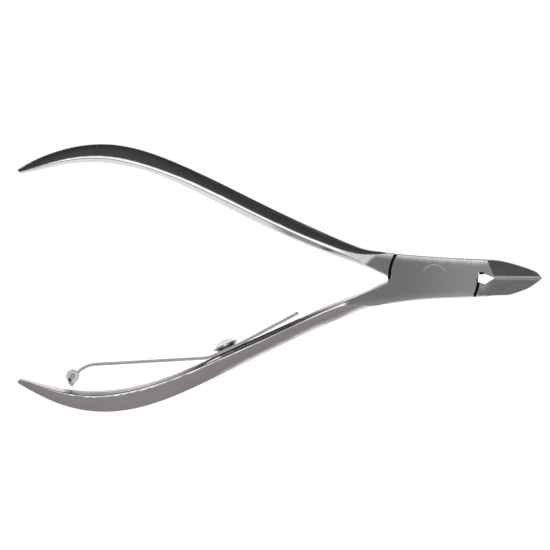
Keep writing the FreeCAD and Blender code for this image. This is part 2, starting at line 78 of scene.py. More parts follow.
SEAT, SCREW_AXIS = joint_place("spring_swing")
ROLLER_AT, ROLLER_AXIS = joint_place("roller_spin")
PIVOT_AXIS = np.array((0.0, 0.0, 1.0))
JOINT_TOP_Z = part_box("pivot_rivet")[1].z
MID_Z = JOINT_TOP_Z / 2


# ---- shader expressions

class Value:
    """A socket's value in an expression: each operator adds one Math node."""

    def __init__(self, tree, socket):
        self.tree = tree
        self.socket = socket

    def math(self, operation, first, second=0.0, clamp=False):
        node = self.tree.nodes.new("ShaderNodeMath")
        node.operation = operation
        node.use_clamp = clamp
        plug(self.tree, node.inputs[0], first)
        plug(self.tree, node.inputs[1], second)
        return Value(self.tree, node.outputs[0])

    def __add__(self, other):
        return self.math("ADD", self, other)

    def __radd__(self, other):
        return self.math("ADD", other, self)

    def __sub__(self, other):
        return self.math("SUBTRACT", self, other)

    def __rsub__(self, other):
        return self.math("SUBTRACT", other, self)

    def __mul__(self, other):
        return self.math("MULTIPLY", self, other)

    def __rmul__(self, other):
        return self.math("MULTIPLY", other, self)

    def __truediv__(self, other):
        return self.math("DIVIDE", self, other)

    def __abs__(self):
        return self.math("ABSOLUTE", self)

    def rise(self, low, high):
        """0 at low, 1 at high, smooth between and level outside; high may be the lower."""
        t = self.math("DIVIDE", self - low, high - low, clamp=True)
        return t * t * (3.0 - 2.0 * t)

    def towards(self, other, share):
        """This value at share 0, the other at share 1."""
        return self + (other - self) * share


def plug(tree, slot, value):
    """Gives a socket a value, or a link where the value is itself a socket's."""
    if isinstance(value, Value):
        tree.links.new(value.socket, slot)
    else:
        slot.default_value = value


class Graph:
    """A node tree that is written as expressions."""

    def __init__(self, tree):
        self.tree = tree
        tree.nodes.clear()

    def node(self, kind, settings=None, sockets=None, outputs=(0,)):
        """A node with its settings made first, then its sockets; its outputs as values."""
        made = self.tree.nodes.new(kind)
        for name, value in (settings or {}).items():
            if name == "curve":
                self.shape_curve(made.mapping, value)
            else:
                setattr(made, name, value)
        for name, value in (sockets or {}).items():
            plug(self.tree, made.inputs[name], value)
        values = [Value(self.tree, made.outputs[name]) for name in outputs]
        return values[0] if len(values) == 1 else values

    def shape_curve(self, mapping, points):
        """Sets a curve's points, from 0 to 1 both ways."""
        line = mapping.curves[0].points
        while len(line) < len(points):
            line.new(0.5, 0.5)
        for point, place in zip(line, points):
            point.location = place
        mapping.update()

    def place_mm(self):
        """Place on the piece in millimetres as x, y and z, and its vector."""
        place = self.node("ShaderNodeTexCoord", outputs=["Object"])
        vector = self.node("ShaderNodeVectorMath", {"operation": "SCALE"},
                           {"Vector": place, "Scale": 1.0 / MM})
        return self.node("ShaderNodeSeparateXYZ", None, {"Vector": vector}, outputs=(0, 1, 2))

    def normal(self):
        """The piece's own surface direction as x, y and z."""
        facing = self.node("ShaderNodeTexCoord", outputs=["Normal"])
        return self.node("ShaderNodeSeparateXYZ", None, {"Vector": facing}, outputs=(0, 1, 2))

    def noise(self, x, y, z, detail=3.0, roughness=0.55):
        """Soft noise about 0.5 at a place given in its own units."""
        vector = self.node("ShaderNodeCombineXYZ", None, {"X": x, "Y": y, "Z": z})
        return self.node("ShaderNodeTexNoise", None, {
            "Vector": vector, "Scale": 1.0, "Detail": detail, "Roughness": roughness})

    def tinted(self, colour, tone):
        """A colour made lighter or darker by a tone that changes over the surface."""
        grey = self.node("ShaderNodeCombineColor", None, {"Red": tone, "Green": tone, "Blue": tone})
        return self.node("ShaderNodeMix", {"data_type": "RGBA", "blend_type": "MULTIPLY"},
                         {0: 1.0, 6: (*colour, 1.0), 7: grey}, outputs=(2,))

    def metal(self, colour, tone, roughness, height, relief):
        """A metal surface with a tone, a roughness and a relief in metres."""
        bump = self.node("ShaderNodeBump", None,
                         {"Strength": 1.0, "Distance": relief, "Height": height})
        shader = self.node("ShaderNodeBsdfPrincipled", None, {
            "Base Color": self.tinted(colour, tone), "Metallic": 1.0,
            "Roughness": roughness, "Normal": bump})
        self.node("ShaderNodeOutputMaterial", None, {"Surface": shader}, outputs=())


def new_material(name):
    """An empty node material and its graph; any older one of the name makes way."""
    old = bpy.data.materials.get(name)
    if old is not None:
        bpy.data.materials.remove(old)
    material = bpy.data.materials.new(name)
    material.use_nodes = True
    return material, Graph(material.node_tree)


# ---- finishes, in millimetres on each piece

HANDLE_START = -9.15       # the handles leave the joint here
HANDLE_LENGTH = 74.15
HANDLE_NECK = 2.8          # centreline's distance from the X axis at the joint
HANDLE_BOW = 22.0          # and how much further out it is at the bow
HANDLE_RISE = [(0.0, 0.0), (0.076, 0.083), (0.183, 0.227), (0.345, 0.477), (0.561, 0.822),
               (0.642, 0.923), (0.723, 0.986), (0.777, 1.0), (0.831, 0.99), (0.944, 0.89),
               (1.0, 0.82)]
CUT_Y = -0.2
LAP_RADIUS = 8.65
POCKET_RADIUS = 9.2
RIVET_RADIUS = 2.45
EAR_SHADE_AT = (-0.52, -0.80)  # middle of the painted shade on the leaf's ears, from the roller's axle
EAR_SHADE_REACH = (0.55, 0.30)


def distance(x, y):
    """Length of the vector (x, y)."""
    square = x * x + y * y
    return square.math("SQRT", square)


def joint_edges(x):
    """The joint plate's upper and lower long edges at x: shallow parabolas."""
    upper = 4.05 - 0.068 * x + 0.0018 * x * x
    lower = -4.33 + 0.07 * x - 0.0035 * x * x
    return upper, lower


def ground_face(graph, x, y, finish):
    """Tone and line pattern of the cross-ground joint face.

    Fine and coarse noise drawn out along Y makes the grinding lines. The tone is
    darker towards the handles. A painted highlight lies in streaks along the long edges,
    another on the far half of the rivet's edge, and painted shade on the lower jaw's face past the
    gap.
    """
    fine = graph.noise(x * 9.0, y * 0.5, 0.0, 2.0)
    coarse = graph.noise(x * 2.6, y * 0.16, 5.0, 3.0)
    lines = fine.towards(coarse, 0.55)
    upper, lower = joint_edges(x)
    # Painted highlight along the joint's rounded long edges, broken into streaks, strongest at the
    # upper edge.
    streaked = (graph.noise(x * 5.5, y * 0.25, 9.0, 3.0) - 0.5) * 1.3
    highlit = (upper - y + streaked).rise(1.8, -0.1)
    lower_highlit = (y - lower + streaked * 0.4).rise(1.6, 0.0)
    along = x.rise(-8.0, 9.0)
    # Painted highlight: a thin lighter line round the rivet's edge, on its far half only.
    ring = abs(distance(x, y) - RIVET_RADIUS).rise(0.16, 0.04) * y.rise(0.4, 2.2)
    tone = (finish.ground_tone * (0.84 + along * 0.42) * (1.0 + (lines - 0.5) * 0.9)
            + highlit * highlit * finish.edge_highlight_tone + lower_highlit * finish.edge_highlight_tone * 0.12
            + ring * finish.ring_highlight_tone)
    # Painted shade on the lower jaw's face past the gap, darkest by its lower edge and towards the
    # tip.
    facet_shade = x.rise(8.8, 8.9) * y.rise(CUT_Y, CUT_Y - 0.05)
    facet_shade_fade = (y - lower).rise(0.0, 3.2) * x.rise(12.5, 9.0)
    tone = tone.towards(finish.ground_tone * (0.7 + facet_shade_fade * 0.9), facet_shade)
    return tone, lines


def lever_material(finish):
    """Satin handles with lines along their curve, ground joint, honed edges, painted shade in the
    clearances.
    """
    material, graph = new_material("lever_steel")
    x, y, z = graph.place_mm()
    facing = graph.normal()
    flat = abs(facing[2]).rise(0.985, 0.998)

    centre = graph.node("ShaderNodeFloatCurve", {"curve": HANDLE_RISE},
                        {"Value": (HANDLE_START - x) / HANDLE_LENGTH})
    across = abs(y) - (centre * HANDLE_BOW + HANDLE_NECK)
    satin = graph.noise(x * 0.20, across * 5.0, z * 5.0, 4.0)
    cloud = graph.noise(x * 0.16, across * 0.6, z * 0.6, 2.0)
    tone = 1.0 + (satin - 0.5) * finish.satin_contrast + (cloud - 0.5) * 0.10
    rough = finish.satin_roughness + (satin - 0.5) * 0.10 + (cloud - 0.5) * 0.05

    ground_tone, grinding = ground_face(graph, x, y, finish)
    upper_side = y.rise(-0.4, -0.3)
    scuffed = flat * upper_side * x.rise(-20.0, -17.5)
    scuffs = graph.noise(x * 2.2, y * 5.0, 2.0, 4.0)
    tone = tone + scuffed * ((scuffs - 0.5) * 1.2 - 0.15)
    rough = rough + scuffed * 0.12
    slanted = x - (y - 2.4) * 1.1
    start = x.rise(-18.5, -17.0).towards(slanted.rise(-14.7, -13.2), upper_side)
    ground = flat * start * x.rise(12.4, 12.3)
    tone = tone.towards(ground_tone, ground)
    rough = rough.towards(finish.ground_roughness + (grinding - 0.5) * 0.2, ground)

    honed = abs(y - CUT_Y).rise(0.44, 0.34) * x.rise(11.8, 12.3)
    tone = tone.towards(finish.honed_tone + (satin - 0.5) * 0.2, honed)
    rough = rough.towards(finish.honed_roughness, honed)

    radius = distance(x, y)
    upper, lower = joint_edges(x)
    inside = (upper - y).rise(0.08, 0.25) * (y - lower).rise(0.08, 0.25)
    covered = abs(z - MID_Z / MM).rise(2.88, 2.80) * inside
    # Ring between the lap's arc and the pocket's arc, painted dark below as shade.
    lap_gap = (radius.rise(LAP_RADIUS - 0.15, LAP_RADIUS - 0.03)
                * radius.rise(POCKET_RADIUS + 0.1, POCKET_RADIUS + 0.02))
    turning = graph.noise(radius * 4.0, 0.0, 3.0, 3.0)
    mating = covered * flat * radius.rise(LAP_RADIUS, LAP_RADIUS - 0.1)
    tone = tone.towards(0.55 + turning * 0.3, mating)
    # Painted shade: the recess by the throat and the ring between the arcs take a dark painted tone
    # and more roughness.
    recess = flat * x.rise(8.5, 8.8) * y.rise(0.25, 0.4) * y.rise(1.3, 1.1)
    painted_clearance_shade = covered * (lap_gap + recess).rise(0.0, 1.0)
    tone = tone.towards(finish.painted_shade_tone, painted_clearance_shade)
    rough = rough.towards(0.6, painted_clearance_shade)

    relief = satin.towards(grinding, ground)
    graph.metal(finish.steel_colour, tone, rough, relief, finish.line_depth)
    return material


def rivet_material(finish):
    """Rivet ends ground together with the joint face, so the lines run straight across."""
    material, graph = new_material("rivet_steel")
    x, y, _ = graph.place_mm()
    tone, lines = ground_face(graph, x, y, finish)
    rough = finish.ground_roughness + (lines - 0.5) * 0.2
    graph.metal(finish.steel_colour, tone, rough, lines, finish.line_depth)
    return material


def turned_material(name, colour, roughness, centre, axis, finish):
    """Turned steel: fine rings, which are noise of the distance from the turning axis."""
    material, graph = new_material(name)
    place = graph.node("ShaderNodeTexCoord", outputs=["Object"])
    from_centre = graph.node("ShaderNodeVectorMath", {"operation": "SUBTRACT"},
                             {0: place, 1: tuple(centre)})
    outward = graph.node("ShaderNodeVectorMath", {"operation": "CROSS_PRODUCT"},
                         {0: from_centre, 1: tuple(axis)})
    radius = graph.node("ShaderNodeVectorMath", {"operation": "LENGTH"}, {0: outward},
                        outputs=["Value"]) / MM
    height = graph.node("ShaderNodeVectorMath", {"operation": "DOT_PRODUCT"},
                        {0: from_centre, 1: tuple(axis)}, outputs=["Value"]) / MM
    rings = graph.noise(radius * 14.0, height * 14.0, 1.0, 2.0)
    x, y, z = graph.place_mm()
    cloud = graph.noise(x * 1.1, y * 1.1, z * 1.1, 3.0)
    tone = 0.96 + (rings - 0.5) * 0.18 + (cloud - 0.5) * 0.16
    graph.metal(colour, tone, roughness + (cloud - 0.5) * 0.12, rings, finish.line_depth)
    return material


def spring_material(finish):
    """Rolled spring strip: fine lines on the broad faces, sheared duller flanks.

    The ears round the roller's axle are lighter, with a small patch of painted shade on each.
    """
    material, graph = new_material("spring_steel")
    x, y, z = graph.place_mm()
    facing = graph.normal()
    flank = abs(facing[2]).rise(0.80, 0.95)
    along = x * float(SCREW_AXIS[1]) - y * float(SCREW_AXIS[0])
    out = x * float(SCREW_AXIS[0]) + y * float(SCREW_AXIS[1])
    rolled = graph.noise(along * 0.3, out * 0.3, z * 7.0, 3.0)
    sheared = graph.noise(along * 1.2, out * 6.0, z * 6.0, 3.0)
    lines = rolled.towards(sheared, flank)
    from_axle = x - float(ROLLER_AT[0]) / MM, y - float(ROLLER_AT[1]) / MM
    ear = distance(*from_axle).rise(1.5, 1.0)
    # Painted shade: a dark patch on each ear, off the axle's lower left.
    ear_shade = distance(from_axle[0] - EAR_SHADE_AT[0], from_axle[1] - EAR_SHADE_AT[1]).rise(*EAR_SHADE_REACH)
    flank_tone = finish.flank_tone * (1.0 + ear * 0.55 + (sheared - 0.5) * 0.9)
    ear_shade_tone = finish.painted_shade_tone * 3.0
    flank_tone = flank_tone.towards(ear_shade_tone, ear_shade)
    tone = (1.0 + (rolled - 0.5) * 0.22).towards(flank_tone, flank)
    rough = (finish.spring_roughness + (rolled - 0.5) * 0.1).towards(0.42, flank)
    graph.metal(finish.spring_colour, tone, rough, lines, finish.line_depth)
    return material


# ---- surfaces, in millimetres until they are placed

AXIS_GAP = 0.01            # an outline is drawn this far from its axis and then closed
AXIS_ROUND = 0.004

def rounded_outline(corners, radii, steps=6):
    """A closed outline with an arc in place of each corner, and two points on each side.

    The points on a side lie close to its arcs, so that smooth shading stays flat
    between them.

    At a corner P the outline turns by 2h. The arc's centre is r / cos h from P along
    the bisector, and its points are the centre plus r (side sin t - bisector cos t)
    for t from -h to h, all corners at once.
    """
    corner = np.array(corners, float)
    radius = np.array(radii, float)[:, None]
    back = np.roll(corner, 1, axis=0) - corner
    ahead = np.roll(corner, -1, axis=0) - corner
    back /= np.linalg.norm(back, axis=1)[:, None]
    ahead /= np.linalg.norm(ahead, axis=1)[:, None]
    bisector = back + ahead
    bisector /= np.linalg.norm(bisector, axis=1)[:, None]
    side = ahead - back
    side /= np.linalg.norm(side, axis=1)[:, None]
    half_turn = (math.pi - np.arccos((back * ahead).sum(axis=1)[:, None])) / 2
    centre = corner + bisector * radius / np.cos(half_turn)
    t = half_turn * np.linspace(-1.0, 1.0, steps)[None, :]
    arcs = (centre[:, None, :] + radius[:, :, None]
            * (side[:, None, :] * np.sin(t)[:, :, None]
               - bisector[:, None, :] * np.cos(t)[:, :, None]))
    leave = arcs[:, -1:, :]
    arrive = np.roll(arcs[:, :1, :], -1, axis=0)
    length = np.linalg.norm(arrive - leave, axis=2)[:, :, None]
    share = np.minimum(0.04 / length, 0.3)
    supports = [leave + (arrive - leave) * share, arrive + (leave - arrive) * share]
    return np.concatenate([arcs, *supports], axis=1).reshape(-1, 2)


def meet_axis(outline):
    """The outline with its points beside the turning axis moved onto it."""
    near = outline[:, 0] < 2 * AXIS_GAP
    outline[:, 0] = np.maximum(outline[:, 0] - 2 * AXIS_GAP * near, 0.0)
    return outline


def across_axis(axis):
    """Two unit directions square to an axis and to each other."""
    helper = np.array((0.0, 0.0, 1.0)) if abs(axis[2]) < 0.9 else np.array((1.0, 0.0, 0.0))
    first = np.cross(axis, helper)
    first /= np.linalg.norm(first)
    return first, np.cross(axis, first)


def quads(rows, columns, wrap_rows, wrap_columns):
    """Vertex numbers of the quads of a grid of rows by columns, closed round where wrapped."""
    r = np.arange(rows if wrap_rows else rows - 1)[:, None]
    c = np.arange(columns if wrap_columns else columns - 1)[None, :]
    after_r = (r + 1) % rows
    after_c = (c + 1) % columns
    corners = (r * columns + c, after_r * columns + c,
               after_r * columns + after_c, r * columns + after_c)
    return np.stack(corners, axis=-1).reshape(-1, 4)


def add_piece(name, grids, material, sharp_angle=SHARP_ANGLE):
    """One object from grids of points, each (points, wrap rows, wrap columns), in metres.

    Points that meet are merged, which closes seams and poles, and faces are then
    turned outwards.
    """
    points, faces, start = [], [], 0
    for grid, wrap_rows, wrap_columns in grids:
        rows, columns = grid.shape[:2]
        points.append(grid.reshape(-1, 3))
        faces.append(quads(rows, columns, wrap_rows, wrap_columns) + start)
        start += rows * columns
    mesh = bpy.data.meshes.new(name)
    mesh.from_pydata(np.concatenate(points).tolist(), [], np.concatenate(faces).tolist())
    shaped = bmesh.new()
    shaped.from_mesh(mesh)
    bmesh.ops.remove_doubles(shaped, verts=shaped.verts, dist=MERGE_DISTANCE)
    bmesh.ops.recalc_face_normals(shaped, faces=shaped.faces)
    shaped.to_mesh(mesh)
    shaped.free()
    mesh.shade_smooth()
    mesh.set_sharp_from_angle(angle=sharp_angle)
    mesh.materials.append(material)
    piece = bpy.data.objects.new(name, mesh)
    bpy.context.scene.collection.objects.link(piece)
    return piece


def turned(profile, centre, axis, steps):
    """A surface turned about an axis.

    The point at angle t is centre + height axis + radius (cos t u + sin t v), with u
    and v square to the axis, for each (radius, height) of the profile in millimetres.
    """
    u, v = across_axis(axis)
    t = np.linspace(0.0, 2.0 * math.pi, steps, endpoint=False)[:, None]
    ring = np.cos(t)[:, :, None] * u + np.sin(t)[:, :, None] * v
    radius = profile[None, :, 0, None] * MM
    height = profile[None, :, 1, None] * MM
    return centre + height * axis + radius * ring


def hand_over(piece, body, node):
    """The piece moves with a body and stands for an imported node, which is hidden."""
    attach(piece, body)
    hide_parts(node)


def give_finish(node, material):
    """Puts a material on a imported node, whose mesh stays as it is."""
    slots = frame["nodes"][node].data.materials
    slots.clear()
    slots.append(material)


# ---- sizes and colours that a user may change

class NipperFinish(bpy.types.PropertyGroup):
    """Colours and surface values of the steels."""

    steel_colour: FloatVectorProperty(
        name="Steel", description="Reflected colour of the stainless levers",
        subtype="COLOR", size=3, min=0.0, max=1.0, default=(0.60, 0.59, 0.588))
    satin_roughness: FloatProperty(
        name="Satin Roughness", description="Roughness of the polished handles",
        subtype="FACTOR", min=0.02, max=1.0, default=0.19)
    satin_contrast: FloatProperty(
        name="Satin Contrast", description="Light and dark of the lines along the handles",
        subtype="FACTOR", min=0.0, max=1.0, default=0.24)
    ground_roughness: FloatProperty(
        name="Ground Roughness", description="Roughness of the cross-ground joint face",
        subtype="FACTOR", min=0.02, max=1.0, default=0.36)
    ground_tone: FloatProperty(
        name="Ground Tone", description="How light the cross-ground joint face is",
        subtype="FACTOR", min=0.0, max=1.0, default=0.29)
    # Painted highlight: how much lighter the joint's rounded long edges are painted.
    edge_highlight_tone: FloatProperty(
        name="Edge Highlight", description="How much lighter the worn edges of the joint are",
        subtype="FACTOR", min=0.0, max=2.0, default=0.9)
    # Painted highlight on the far half of the rivet's edge.
    ring_highlight_tone: FloatProperty(
        name="Rivet Ring", description="How much lighter the far half of the rivet's edge is",
        subtype="FACTOR", min=0.0, max=1.0, default=0.3)
    honed_tone: FloatProperty(
        name="Honed Tone", description="How light the honed cutting edges are",
        subtype="FACTOR", min=0.0, max=2.0, default=1.35)
    honed_roughness: FloatProperty(
        name="Honed Roughness", description="Roughness of the honed cutting edges",
        subtype="FACTOR", min=0.02, max=1.0, default=0.55)
    # Painted shade: the dark tone in the joint's clearances and on the leaf's ears.
    painted_shade_tone: FloatProperty(
        name="Painted Shade Tone", description="How light the painted shade in the joint's clearances and on the leaf's ears is",
        subtype="FACTOR", min=0.0, max=1.0, default=0.06)
    line_depth: FloatProperty(
        name="Line Depth", description="Depth of polishing and grinding lines",
        unit="LENGTH", min=0.0, max=0.001, precision=6, default=0.0000012)
    spring_colour: FloatVectorProperty(
        name="Spring Steel", description="Reflected colour of the leaf spring",
        subtype="COLOR", size=3, min=0.0, max=1.0, default=(0.56, 0.555, 0.54))
    spring_roughness: FloatProperty(
        name="Spring Roughness", description="Roughness of the leaf's broad faces",
        subtype="FACTOR", min=0.02, max=1.0, default=0.24)
    flank_tone: FloatProperty(
        name="Leaf Flank Tone", description="How light the sheared flanks of the leaf are",
        subtype="FACTOR", min=0.0, max=1.0, default=0.70)
    screw_colour: FloatVectorProperty(
        name="Screw Steel", description="Reflected colour of the screw and its washer",
        subtype="COLOR", size=3, min=0.0, max=1.0, default=(0.66, 0.65, 0.64))
    screw_roughness: FloatProperty(
        name="Screw Roughness", description="Roughness of the screw, washer and roller",
        subtype="FACTOR", min=0.02, max=1.0, default=0.18)
    axle_roughness: FloatProperty(
        name="Axle Roughness", description="Roughness of the axle's hammered ends",
        subtype="FACTOR", min=0.02, max=1.0, default=0.5)


class NipperParts(bpy.types.PropertyGroup):
    """Sizes of the small turned and pressed parts."""

    segments: IntProperty(
        name="Segments", description="Steps round each turned part", min=24, max=256, default=96)
    edge_round: FloatProperty(
        name="Edge Round", description="Radius of small broken edges",
        unit="LENGTH", min=0.00001, max=0.0002, precision=5, default=0.00007)
    rivet_inset: FloatProperty(
        name="Rivet Inset", description="Rivet ends lie this much under the joint's faces",
        unit="LENGTH", min=0.0, max=0.0002, precision=6, default=0.000003)
    rivet_round: FloatProperty(
        name="Rivet Edge Round", description="Radius of the rivet's ground edges",
        unit="LENGTH", min=0.000005, max=0.0002, precision=6, default=0.00001)
    leaf_thickness: FloatProperty(
        name="Leaf Thickness", description="The washer lies on a leaf of this thickness",
        unit="LENGTH", min=0.0003, max=0.001, precision=5, default=0.0006)
    washer_thickness: FloatProperty(
        name="Washer Thickness", description="Thickness of the dished washer",
        unit="LENGTH", min=0.0001, max=0.001, precision=5, default=0.0003)
    head_radius: FloatProperty(
        name="Screw Head Radius", description="Radius of the screw's domed head",
        unit="LENGTH", min=0.001, max=0.004, precision=5, default=0.00235)
    dome_height: FloatProperty(
        name="Dome Height", description="Height of the screw's dome over its rim",
        unit="LENGTH", min=0.0002, max=0.002, precision=5, default=0.001)
    slot_width: FloatProperty(
        name="Slot Width", description="Width of the screwdriver slot",
        unit="LENGTH", min=0.0002, max=0.001, precision=5, default=0.0006)
    slot_depth: FloatProperty(
        name="Slot Depth", description="Depth of the slot at the dome's middle",
        unit="LENGTH", min=0.0001, max=0.001, precision=5, default=0.00065)
    axle_head: FloatProperty(
        name="Axle Head Radius", description="Radius of the upset ends of the roller's axle",
        unit="LENGTH", min=0.0005, max=0.001, precision=5, default=0.00064)


class NipperStudio(bpy.types.PropertyGroup):
    """Floor, soft light and camera."""

    floor_half: FloatProperty(
        name="Floor", description="Half width of the square floor",
        unit="LENGTH", min=0.5, max=10.0, default=3.0)
    floor_drop: FloatProperty(
        name="Floor Drop", description="The floor lies this much under the tool's back faces",
        unit="LENGTH", min=0.0, max=0.001, precision=5, default=0.00002)
    floor_glow: FloatProperty(
        name="Floor Glow", description="Light of the lit white table",
        min=0.0, max=3.0, default=1.0)
    dark_side: FloatProperty(
        name="Dark Side", description="Light that comes from low behind the tool",
        min=0.0, max=2.0, default=0.035)
    dark_top: FloatProperty(
        name="Dark Top", description="Extra light from higher up, all round the panel",
        min=0.0, max=2.0, default=0.064)
    bright_side: FloatProperty(
        name="Bright Side", description="Light that comes from in front of the tool",
        min=0.0, max=2.0, default=0.30)
    low_panel: FloatProperty(
        name="Low Panel", description="Extra light low in front of the tool",
        min=0.0, max=3.0, default=0.55)
    overhead: FloatProperty(
        name="Overhead Panel", description="Light of the soft panel over the tool",
        min=0.0, max=5.0, default=1.7)
    bright_colour: FloatVectorProperty(
        name="Bright Side Colour", description="Colour of the light in front of the tool",
        subtype="COLOR", size=3, min=0.0, max=1.0, default=(1.0, 0.90, 0.895))
    view_width: FloatProperty(
        name="View Width", description="Width that the camera takes in at the tool's middle",
        unit="LENGTH", min=0.05, max=0.5, default=0.110)
    aim: FloatVectorProperty(
        name="Aim", description="The camera stands over this point of the tool",
        subtype="XYZ", unit="LENGTH", size=3, precision=5, default=(-0.03175, 0.0004, 0.003))
    lens: FloatProperty(
        name="Lens", description="Focal length of the camera in millimetres",
        min=35.0, max=600.0, default=400.0)


# ---- operators

class NIPPER_OT_levers(bpy.types.Operator):
    """Finish the two levers: satin handles, ground joint, honed cutting edges"""

    bl_idname = "nipper.levers"
    bl_label = "Levers"

    def execute(self, context):
        material = lever_material(context.scene.nipper_finish)
        for node in ("front_lever", "back_lever"):
            give_finish(node, material)
        return {"FINISHED"}


class NIPPER_OT_leaf(bpy.types.Operator):
    """Finish the leaf spring: rolled faces and sheared flanks"""

    bl_idname = "nipper.leaf"
    bl_label = "Leaf Spring"

    def execute(self, context):
        give_finish("spring_leaf", spring_material(context.scene.nipper_finish))
        return {"FINISHED"}


class NIPPER_OT_rivet(bpy.types.Operator):
    """Pivot rivet: shank with a countersunk head ground flush at each face"""

    bl_idname = "nipper.rivet"
    bl_label = "Pivot Rivet"

    def execute(self, context):
        parts = context.scene.nipper_parts
        low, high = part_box("pivot_rivet")
        head = (high.x - low.x) / 2 / MM
        overhang, head_depth = 0.55, 0.8
        shank = head - overhang
        inset = parts.rivet_inset / MM
        bottom, top = inset, JOINT_TOP_Z / MM - inset
        rim = parts.rivet_round / MM
        outline = rounded_outline(
            [(AXIS_GAP, bottom), (head, bottom), (shank, head_depth), (shank, top - head_depth),
             (head, top), (AXIS_GAP, top)],
            [AXIS_ROUND, rim, rim, rim, rim, AXIS_ROUND])
        surface = turned(meet_axis(outline), np.zeros(3), PIVOT_AXIS, parts.segments)
        piece = add_piece("rivet", [(surface, True, True)],
                          rivet_material(context.scene.nipper_finish))
        hand_over(piece, "front_lever", "pivot_rivet")
        return {"FINISHED"}


class NIPPER_OT_washer(bpy.types.Operator):
    """Dished washer under the screw's head: flat base, raised rim, broken edges"""

    bl_idname = "nipper.washer"
    bl_label = "Spring Washer"

    def execute(self, context):
        parts = context.scene.nipper_parts
        low = parts.leaf_thickness / MM
        top = low + parts.washer_thickness / MM
        base, rim, dish, bore = 1.75, 2.75, 0.55, 1.06
        bend = 0.3
        edge = parts.edge_round / MM
        outline = rounded_outline(
            [(bore, low), (base, low), (rim, low + dish), (rim, top + dish), (base, top),
             (bore, top)],
            [edge, bend, edge, edge, bend, edge])
        surface = turned(outline, SEAT, SCREW_AXIS, parts.segments)
        finish = context.scene.nipper_finish
        material = turned_material("washer_steel", finish.screw_colour, finish.screw_roughness,
                                   SEAT, SCREW_AXIS, finish)
        piece = add_piece("washer", [(surface, True, True)], material)
        hand_over(piece, "front_lever", "spring_washer")
        return {"FINISHED"}


class NIPPER_OT_screw(bpy.types.Operator):
    """Slotted dome-headed screw that holds the leaf spring"""

    bl_idname = "nipper.screw"
    bl_label = "Spring Screw"

    def execute(self, context):
        """The dome is a grid of a across the slot and b along it.

        A point is (a, b sqrt(R^2 - a^2)), at the dome's height h (1 - (d / R)^2), or at
        the slot's floor where that is lower and a is between the slot's walls. Under
        the rim, the dome's edge is carried down to the shank and its end.
        """
        parts = context.scene.nipper_parts
        radius = parts.head_radius / MM
        dome = parts.dome_height / MM
        seat = (parts.leaf_thickness + parts.washer_thickness) / MM
        brim_gap, rim_height = 0.35, 0.2
        brim = seat + brim_gap
        rim_top = brim + rim_height
        wall = parts.slot_width / MM / 2
        floor = rim_top + dome - parts.slot_depth / MM
        lip = 0.05
        outer = np.sin(np.linspace(0.0, math.pi / 2, 17))
        outer = wall + lip + (radius - wall - lip) * outer
        half = np.concatenate([(0.0, wall * 0.5, wall - 0.02, wall), outer])
        a = np.concatenate([-half[:0:-1], half])[:, None]
        b = np.sin(np.linspace(-math.pi / 2, math.pi / 2, 49))[None, :]
        x = a + 0.0 * b
        y = b * np.sqrt(np.maximum(radius ** 2 - a ** 2, 0.0))
        height = rim_top + dome * (1.0 - (x ** 2 + y ** 2) / radius ** 2)
        slot_floor = np.minimum(height, floor)
        height = np.where(np.abs(x) < wall - 0.01, slot_floor, height)
        on_wall = np.abs(np.abs(x) - wall) < 0.001
        height = np.where(on_wall, np.maximum(slot_floor, height - lip), height)

        slot_way, slot_across = across_axis(SCREW_AXIS)

        def place(px, py, pz):
            return (SEAT + px[..., None] * MM * slot_across + py[..., None] * MM * slot_way
                    + pz[..., None] * MM * SCREW_AXIS)

        top = place(x, y, height)
        edge_x = np.concatenate([x[:, -1], x[::-1, 0]])
        edge_y = np.concatenate([y[:, -1], y[::-1, 0]])
        shank, point, end, tip = 0.4255, 0.32, -2.8, 0.25
        skirt = np.array([(1.0, rim_top), (1.0, brim + 0.05), (0.985, brim), (0.72, seat),
                          (0.44, seat), (shank, seat - 0.05), (shank, end + tip), (point, end),
                          (0.0, end)])
        under = place(edge_x[:, None] * skirt[None, :, 0], edge_y[:, None] * skirt[None, :, 0],
                      np.ones_like(edge_x)[:, None] * skirt[None, :, 1])
        finish = context.scene.nipper_finish
        material = turned_material("screw_steel", finish.screw_colour, finish.screw_roughness,
                                   SEAT, SCREW_AXIS, finish)
        piece = add_piece("screw", [(top, False, False), (under, True, False)], material,
                          sharp_angle=0.5)
        hand_over(piece, "front_lever", "spring_screw")
        return {"FINISHED"}


class NIPPER_OT_roller(bpy.types.Operator):
    """Roller at the leaf's forked end: a short tube with rounded edges"""

    bl_idname = "nipper.roller"
    bl_label = "Roller"

    def execute(self, context):
        parts = context.scene.nipper_parts
        low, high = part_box("roller")
        radius = (high.x - low.x) / 2 / MM
        half = (high.z - low.z) / 2 / MM
        bore, bore_round, end_round = 0.55, 0.05, 0.25
        outline = rounded_outline(
            [(bore, -half), (radius, -half), (radius, half), (bore, half)],
            [bore_round, end_round, end_round, bore_round], steps=9)
        surface = turned(outline, ROLLER_AT, ROLLER_AXIS, parts.segments)
        finish = context.scene.nipper_finish
        material = turned_material("roller_steel", finish.screw_colour, finish.screw_roughness,
                                   ROLLER_AT, ROLLER_AXIS, finish)
        piece = add_piece("spring_roller", [(surface, True, True)], material)
        hand_over(piece, "roller", "roller")
        return {"FINISHED"}


